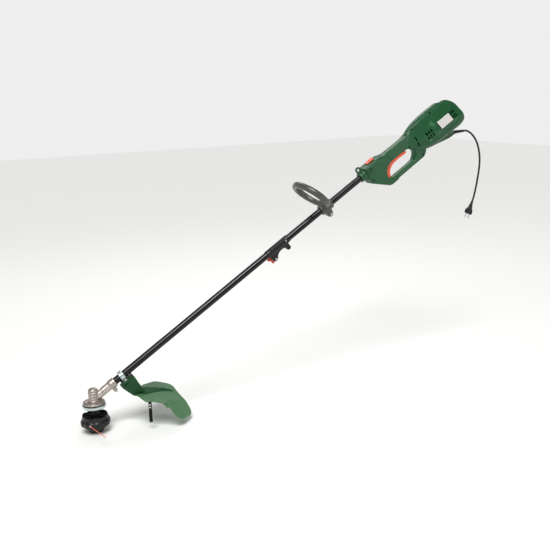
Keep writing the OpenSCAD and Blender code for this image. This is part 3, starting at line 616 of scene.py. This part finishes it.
# Bent zinc-plated strap with two ears on its base and a tab on top, and the bolts that draw it tight
strap = carve(fuse([
    lathe([(0, 116), (14.6, 116), (15, 116.6), (15, 131.4), (14.6, 132), (0, 132)], along_shaft, 64),
    box((116, -19, -17.9), (132, 19, -15.4), shaft_frame),
    box((116, -2.6, 13), (132, 2.6, 20.5), shaft_frame),
], 0.6, 2), [lathe([(0, 100), (tight_bore, 100), (tight_bore, 150), (0, 150)], along_shaft, 64)])
piece(strap, "guard_clamp_strap", zinc, "lower_unit", "guard_clamp")


def bolt_head(r, high):
    """Domed hexagon head with its washer, standing on z = 0"""
    hexagon = [(r * cos(pi * k / 3), r * sin(pi * k / 3)) for k in range(6)]
    head = loft([[(x * q, y * q, z) for x, y in hexagon]
                 for z, q in ((0.9, 1), (high - 0.6, 1), (high, 0.86))], row_frame)
    washer = lathe([(0, 0), (r * 1.25, 0), (r * 1.3, 0.3), (r * 1.3, 0.8), (r * 1.2, 1), (0, 1)],
                   row_frame, 28)
    return join([head, washer])


def placed(obj, place):
    """Moves a solid that was made in the row frame"""
    obj.data.transform(row_frame @ place @ row_frame.inverted())
    return obj


in_rows = row_frame.inverted() @ shaft_frame
clamp_bolts = [placed(bolt_head(4, 3.6), in_rows @ Matrix.Translation((124, y, -15.4))) for y in (-14, 14)]
clamp_bolts.append(placed(bolt_head(3.6, 3.2), in_rows @ Matrix.Translation((124, -2.6, 17)) @ to_near))
piece(join(clamp_bolts), "guard_clamp_bolts", turned_steel, "lower_unit", "guard_screws")

# ---------- coupler ----------

sleeve = [(0, 815), (14, 815), (15.2, 822), (15.4, 826), (15.4, 920.6), (14.9, 922.6), (13.6, 923),
          (0, 923)]
cheek = [(822, -8), (825, -34), (830, -39.6), (842, -39.6), (848, -34.5), (851, -29), (855, -24.5),
         (861, -21), (868, -18.6), (876, -18), (885, -18.6), (892, -21), (897, -25), (899, -34),
         (902, -38), (908, -38), (912.6, -33), (913, -28), (913, -8)]
coupler = fuse([
    lathe(sleeve, along_shaft, 64),
    slab(cheek, rounded(9, 2), shaft_frame),
    post(836, -31, -12, 5, 8.8, shaft_frame, 1),
    post(905, -29, -9.2, 9.2, 9.3, shaft_frame, 1),
    post(905, 6, -17.9, -8, 5.4, shaft_frame, 0.8),
    # stiffening ribs along the sleeve
    *[box((830, -0.9, 14), (898, 0.9, 16.2), shaft_frame @ Matrix.Rotation(radians(a), 4, "X"))
      for a in (48, 90, 132, 205, -48)],
], 0.75, 3)
carve(coupler, [
    lathe([(0, 810), (sliding_bore, 810), (sliding_bore, 930), (0, 930)], along_shaft, 64),
    box((800, -1, -44), (862, 1, -10), shaft_frame),
    post(836, -31, -20, 30, 3.05, shaft_frame),
    post(905, -29, -20, 20, 4.2, shaft_frame),
    post(905, 6, -22, -8, 3.1, shaft_frame),
])
piece(coupler, "shaft_coupler", black_nylon, "housing", "coupler")

lobes = [(836 + (18.6 + 4.6 * cos(5 * a)) * cos(a + 0.52), -31 + (18.6 + 4.6 * cos(5 * a)) * sin(a + 0.52))
         for a in (2 * pi * i / 90 for i in range(90))]
grip = fuse([
    slab(lobes, [(14.6, 1.6), (15.2, 0.5), (16.2, 0), (22.6, 0), (24.0, 0.6), (24.8, 2.2)], shaft_frame),
    post(836, -31, 9.6, 16, 8.8, shaft_frame),
], 0.6, 2)
carve(grip, [post(836, -31, 5, 23.4, 3.1, shaft_frame)])
piece(grip, "coupler_clamp_knob", red_nylon, "coupler_knob", "coupler_knob")

# ---------- loop handle ----------

handle_frame = shaft_frame @ Matrix.Translation((1122, 0, 0))
loop_frame = handle_frame @ Matrix.Rotation(radians(-19.5), 4, "Y")
loop_rings = []
for i in range(96):
    a = 2 * pi * i / 96
    # the bar is widest at the top, where it is held, and slimmer where it runs into the hub
    wide = 12.6 - 1.8 * max(0, -sin(a))
    ring = []
    for b in (2 * pi * k / 24 for k in range(24)):
        out = -11.2 * abs(sin(b)) ** 0.85 * (1 if sin(b) >= 0 else -1)
        ring.append((wide * abs(cos(b)) ** 0.85 * (1 if cos(b) >= 0 else -1), (80 + out) * cos(a),
                     82 + (66 + out) * sin(a)))
    loop_rings.append(ring)
foot = [(-13.5, -12), (-13.5, -30), (-9, -40), (-3, -43.6), (3, -43.6), (9, -40), (13.5, -30), (13.5, -12)]
handle = fuse([
    loft(loop_rings, loop_frame, closed=True),
    lathe([(0, -27), (19.4, -27), (20.8, -25.6), (20.8, 25.6), (19.4, 27), (0, 27)],
          handle_frame @ to_x, 64),
    box((-12.6, -17, 0), (12.6, 17, 27), loop_frame @ Matrix.Translation((0, 0, 2))),
    slab(foot, rounded(12.8, 2.4), handle_frame),
    post(0, -34, -13.6, 13.6, 9.4, handle_frame, 0.8),
], 1.1, 6)
carve(handle, [
    lathe([(0, -60), (sliding_bore, -60), (sliding_bore, 60), (0, 60)], handle_frame @ to_x, 64),
    box((-30, -1, -48), (30, 1, -10), handle_frame),
    post(0, -34, -20, 20, 3.15, handle_frame),
])
piece(handle, "loop_handle_moulding", grey_grip, "loop_handle", "loop_handle")

# ---------- housing ----------

nose = [(0, 1309), (18.4, 1309), (19.8, 1310.4), (20, 1320), (22.4, 1321.6), (23.8, 1323), (24, 1333.6),
        (0, 1333.6)]
collar = fuse([
    lathe(nose, along_shaft, 64),
    slab([(1310, 10), (1308, 26), (1330, 26), (1333.6, 12)], rounded(4.9, 1.4), shaft_frame),
    lathe([(6.2, -3.4), (7.2, -4.8), (11, -4.8), (12.3, -3.4), (12.3, 3.4), (11, 4.8), (7.2, 4.8),
           (6.2, 3.4)],
          shaft_frame @ Matrix.Translation((1319, 0, 32)) @ to_y, 48),
], 0.8, 3)
carve(collar, [
    lathe([(0, 1300), (tight_bore, 1300), (tight_bore, 1340), (0, 1340)], along_shaft, 64),
    post(1319, 32, -8, 8, 6.05, shaft_frame),
])
piece(collar, "housing_nose_collar", green_abs, "housing", "nose_collar")

block_side = [(1334, 27), (1402, 29), (1420, 26), (1436, 20), (1452, 17), (1452, -103), (1414, -104),
              (1402, -100), (1334, -42)]
grip_side = [(1400, 27), (1420, 26), (1436, 20), (1540, 18), (1560, 21), (1590, 24), (1612, -20),
             (1630, -80), (1616, -96), (1602, -103), (1414, -104), (1400, -99)]
finger_hole = [(1417, -60), (1421, -45), (1431, -34), (1450, -27.5), (1500, -26.4), (1536, -28),
               (1554, -33), (1567, -43), (1573, -56), (1570, -68), (1560, -78), (1545, -84),
               (1500, -84.8), (1448, -85), (1432, -82), (1420, -73)]
fin_side = [(1640, -80), (1644, -90), (1712, -106), (1752, -116), (1786, -118), (1787, -100), (1776, -84)]
# Motor barrel, one row per station: place, ridge height, widest height, half width, bottom
barrel = [(1560, 20, -5, 19, -32), (1585, 31, -12, 28, -58), (1612, 39, -24, 37, -76),
          (1645, 44, -34, 45, -86), (1690, 46.5, -42, 49, -91), (1738, 46, -44, 50, -92),
          (1766, 44.5, -44, 50, -92), (1784, 36, -45, 50, -92), (1806, 32, -46, 50, -92),
          (1818, 26, -46, 49, -91), (1835, 6, -48, 45, -86), (1844, -14, -50, 36, -78)]
upper_round = [(0, 0), (0.22, 0.015), (0.4, 0.07), (0.52, 0.2), (0.64, 0.4), (0.8, 0.65), (0.94, 0.88)]
lower_round = [(1, 0), (1, 0.25), (0.96, 0.48), (0.87, 0.7), (0.7, 0.88), (0.42, 0.98), (0, 1)]


def barrel_ring(s, ridge, widest, half, bottom):
    """Teardrop section: a ridge on top, flanks that lean out to the widest line, and a round belly"""
    near = [(half * a, ridge + (widest - ridge) * b) for a, b in upper_round]
    near += [(half * a, widest + (bottom - widest) * b) for a, b in lower_round]
    return [(s, y, n) for y, n in near] + [(s, -y, n) for y, n in reversed(near[1:-1])]


def barrel_inside(wall):
    """The barrel's surface moved inwards by a wall"""
    rows = [(x, ridge - wall, widest, half - wall, bottom + wall)
            for x, ridge, widest, half, bottom in barrel]
    return loft([barrel_ring(*row) for row in smooth_line(rows, 5)], shaft_frame)


def recess(outline, depth):
    """Cutters that sink a panel into both flanks of the barrel by a depth"""
    sides = [slab(outline, [(y, 0), (y + 60, 0)], shaft_frame) for y in (-80, 20)]
    for cutter in sides:
        carve(cutter, [barrel_inside(depth)])
    return sides


body = fuse([
    slab(block_side, rounded(27.6, 8), shaft_frame),
    slab(grip_side, rounded(18.8, 7), shaft_frame),
    slab(fin_side, rounded(9.8, 3), shaft_frame),
    loft([barrel_ring(*row) for row in smooth_line(barrel, 5)], shaft_frame),
], 1.3, 9)
# the opening flares towards both sides, so that the grip and the lower bar are round in the hand
flare = [(-30, -8), (-19, -5.5), (-14, -2.2), (-7, -0.4), (0, 0), (7, -0.4), (14, -2.2), (19, -5.5),
         (30, -8)]
carve(body, [slab(smooth_line(finger_hole, 3, closed=True), flare, shaft_frame)])
body = fuse([body], 1.3, 3)

# counterbores for the screws are cut on both sides, and screw heads sit in the near ones
screw_spots = [(1345, -32), (1450, -95), (1558, -24), (1600, -88), (1604, 28), (1708, 37), (1738, -82)]
cuts = [post(x, z, side * 60 if side < 0 else 8.2, -8.2 if side < 0 else 60, 4.0, shaft_frame)
        for x, z in screw_spots for side in (-1, 1)]
carve(body, cuts)
# the flat of each flank is sunk below the ridge, and the panel round the main slots deeper still
carve(body, recess([(1612, 12), (1660, 25), (1704, 28), (1776, 23), (1800, 12), (1812, -6), (1812, -40),
                    (1796, -58), (1760, -66), (1690, -66), (1640, -56), (1610, -34)], 0.9))
carve(body, recess([(1632, 0), (1690, -5), (1684, -51), (1645, -50), (1631, -28)], 2.3))
# the motor's room, with its cooling slots through both walls
room_wall = 3.4
room = [(x, ridge - room_wall, widest, half - room_wall, bottom + room_wall)
        for x, ridge, widest, half, bottom in barrel[2:-1]]
carve(body, [loft([barrel_ring(*row) for row in smooth_line(room, 5)], shaft_frame)])
slots = [(1640 + 13 * i, -45 + 18 * j, 7, 13) for i in range(3) for j in range(2)]
slots += [(1781 + 9 * i, -40 + 18 * j, 5.5, 14) for i in range(3) for j in range(2)]
slots += [(1593, -46 + 25 * j, 5.5, 20) for j in range(2)]
carve(body, [box((x, y, n), (x + long, y + 60, n + high), shaft_frame)
             for x, n, long, high in slots for y in (-75, 15)])

trigger_pivot = (1414, -74)
trigger_side = [(1412, -68), (1411, -58), (1418, -44), (1430, -33), (1452, -25), (1490, -22), (1530, -26),
                (1540, -31), (1539, -38), (1530, -39), (1490, -36.5), (1462, -39.5), (1446, -46),
                (1435, -57), (1431, -68), (1428, -76), (1420, -78), (1412, -76)]

# the trigger has room for its whole travel, and the lock slider runs in a slot on top
trigger_room = [(1408.5, -79), (1432, -79.5), (1435, -66), (1440, -55), (1450, -46), (1466, -41.5),
                (1541, -41), (1541, -19), (1526, -15), (1486, -14.5), (1447, -21), (1425.5, -31),
                (1414.5, -43), (1408.6, -58)]
carve(body, [slab(trigger_room, [(-13.2, 0), (13.2, 0)], shaft_frame)])
carve(body, [lathe([(0, 1330), (shell_bore, 1330), (shell_bore, 1358), (0, 1358)], along_shaft, 64)])
carve(body, [box((1357.5, -5.4, 22.2), (1402.5, 5.4, 40), shaft_frame)])
carve(body, [box((1357.5, -9.5, 17.4), (1402.5, 9.5, 22.3), shaft_frame)])

for name, node, side in (("housing_near_shell", "left_shell", -1), ("housing_far_shell", "right_shell", 1)):
    half = bpy.data.objects.new("half", body.data.copy())
    bpy.context.scene.collection.objects.link(half)
    # the halves meet in a fine joint line at the middle
    y0, y1 = sorted((-side * 200, side * 0.15))
    carve(half, [box((1200, y0, -300), (2000, y1, 300), shaft_frame)])
    piece(half, name, green_abs, "housing", node)
bpy.data.objects.remove(body)

trigger = fuse([slab(trigger_side, rounded(12.4, 2.6), shaft_frame)], 0.8, 4)
carve(trigger, [post(*trigger_pivot, -20, 20, 2.55, shaft_frame)])
piece(trigger, "switch_trigger", orange_abs, "trigger", "trigger")

slider = fuse([
    slab([(1362, 29.5), (1364, 33), (1372, 33.5), (1388, 36), (1396, 38), (1398, 29.5)], rounded(8.9, 1.2),
         shaft_frame),
    box((1366, -4.9, 20), (1394, 4.9, 31), shaft_frame),
    box((1366, -8.9, 18.1), (1394, 8.9, 21.5), shaft_frame),
], 0.6, 2)
carve(slider, [box((1375 + 4 * i, -12, 33.2 + i), (1376.4 + 4 * i, 12, 44), shaft_frame) for i in range(4)])
piece(slider, "lock_slider_cap", orange_abs, "lock_slider", "lock_slider")

# round cap on the near side: a rim, a sunk ring and a dome in the middle
cap = [(0, -2), (12.5, -2), (12.5, 3.2), (11.6, 4.2), (9.8, 4.2), (8.9, 3.2), (8.4, 0.6), (6, 0.6),
       (5.6, 2.8), (4.4, 4.2), (2.4, 5.2), (0, 5.5)]
piece(lathe(cap, shaft_frame @ Matrix.Translation((1351, -27.4, 14)) @ to_near, 56),
      "side_cap_round", green_abs, "housing", "side_cap")

# blank rating film, with a raised border along its four edges
film_frame = shaft_frame @ Matrix.Translation((1742, -46.8, -23)) @ Matrix.Rotation(radians(-26), 4, "X")
borders = [(-33, -17, 33, -16.2), (-33, 16.2, 33, 17), (-33, -17, -32.2, 17), (32.2, -17, 33, 17)]
piece(join([box((-33, -0.25, -17), (33, 0.25, 17), film_frame),
            *[box((x0, -0.35, z0), (x1, 0.25, z1), film_frame) for x0, z0, x1, z1 in borders]]),
      "rating_film", white_film, "housing", "label_plate")

screws = join([placed(lathe([(0, 0), (3.5, 0), (3.5, 1.6), (2.9, 2.4), (1.6, 2.5), (1.5, 1.1), (0, 1.1)],
                            row_frame, 24),
                      in_rows @ Matrix.Translation((x, -9.6, n)) @ to_near) for x, n in screw_spots])
piece(screws, "housing_screw_heads", dark_screw, "housing", "housing_screws")

# ---------- scene ----------

# The plain machined pieces keep their solids, with the fine broken edges that a tool leaves
finishes = {
    turned_steel: ("arbor", "arbor_bearings", "arbor_nut", "pinion", "driven_gear", "pinion_bearings",
                   "bump_spring", "lower_drive_shaft", "upper_drive_shaft", "coupler_bolt",
                   "release_pin", "release_spring", "handle_bolt",
                   "trigger_pin", "trigger_spring", "motor_bearings", "gearcase_clamp_screw",
                   "line_eyelets"),
    zinc: ("cutter_screws",),
    cast_alu: ("grease_plug", "bearing_plates"),
    black_nylon: ("spool", "lower_bushings", "upper_bushings", "switch", "fan"),
    black_pvc: ("flex_shaft",),
    nylon_line: ("cutting_lines", "line_winding"),
    grey_grip: ("handle_clamp",),
    laminations: ("stator",),
    copper: ("rotor",),
    brass: ("brushes",),
}
for finish, names in finishes.items():
    for name in names:
        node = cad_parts[name]
        node.data.materials.clear()
        node.data.materials.append(finish)
        weld = node.modifiers.new("weld", "WELD")
        weld.merge_threshold = 0.00001
        edge = node.modifiers.new("broken edge", "BEVEL")
        edge.width = 0.0003
        edge.segments = 2
        edge.limit_method = "ANGLE"
        edge.angle_limit = radians(40)

stage_mat = bpy.data.materials.new("matt white studio floor")
stage_mat.use_nodes = True
add(stage_mat, stage_mat.node_tree.nodes["Principled BSDF"],
    {"Base Color": colour("#f4f4f2"), "Roughness": 0.9})
floor = solid([(-9000, -6000, -838), (9000, -6000, -838), (9000, 12000, -838), (-9000, 12000, -838)],
              [(0, 1, 2, 3)], row_frame)
floor.name = "studio_floor"
floor.data.materials.append(stage_mat)

# A white cyclorama round the horizon and a dimmer room above it
world = bpy.data.worlds.new("studio")
bpy.context.scene.world = world
world.use_nodes = True
way = add(world, "ShaderNodeTexCoord", {}).outputs["Generated"]
height = add(world, "ShaderNodeSeparateXYZ", {"Vector": way}).outputs["Z"]
glow = add(world, "ShaderNodeMapRange", {"Value": height, "From Min": 0.16, "From Max": 0.4,
                                         "To Min": 0.86, "To Max": 0.28})
add(world, world.node_tree.nodes["Background"], {"Color": (1, 1, 1, 1), "Strength": glow.outputs[0]})
bpy.context.scene.view_settings.view_transform = "Standard"


def lamp(name, kind, at, towards, power, **shape):
    """Soft studio light that looks at a point"""
    light = bpy.data.lights.new(name, kind)
    light.energy = power
    for key, value in shape.items():
        setattr(light, key, value)
    obj = bpy.data.objects.new(name, light)
    obj.location = at
    obj.rotation_euler = (Vector(towards) - Vector(at)).to_track_quat("-Z", "Y").to_euler()
    bpy.context.scene.collection.objects.link(obj)


lamp("overhead", "SUN", (-1, -1.6, 3), (0, 0, 0), 2.1, angle=radians(30))
lamp("strip", "AREA", (-1.2, -1.2, 1.9), (-0.3, 0, -0.1), 20, shape="RECTANGLE", size=1.8, size_y=0.18)
lamp("fill", "AREA", (1.6, -2.4, 0.2), (0.1, 0, -0.2), 5, shape="RECTANGLE", size=1.2, size_y=0.5)
lamp("rim", "AREA", (0.2, 2.0, 1.8), (0, 0, -0.2), 16, shape="RECTANGLE", size=2.0, size_y=0.4)
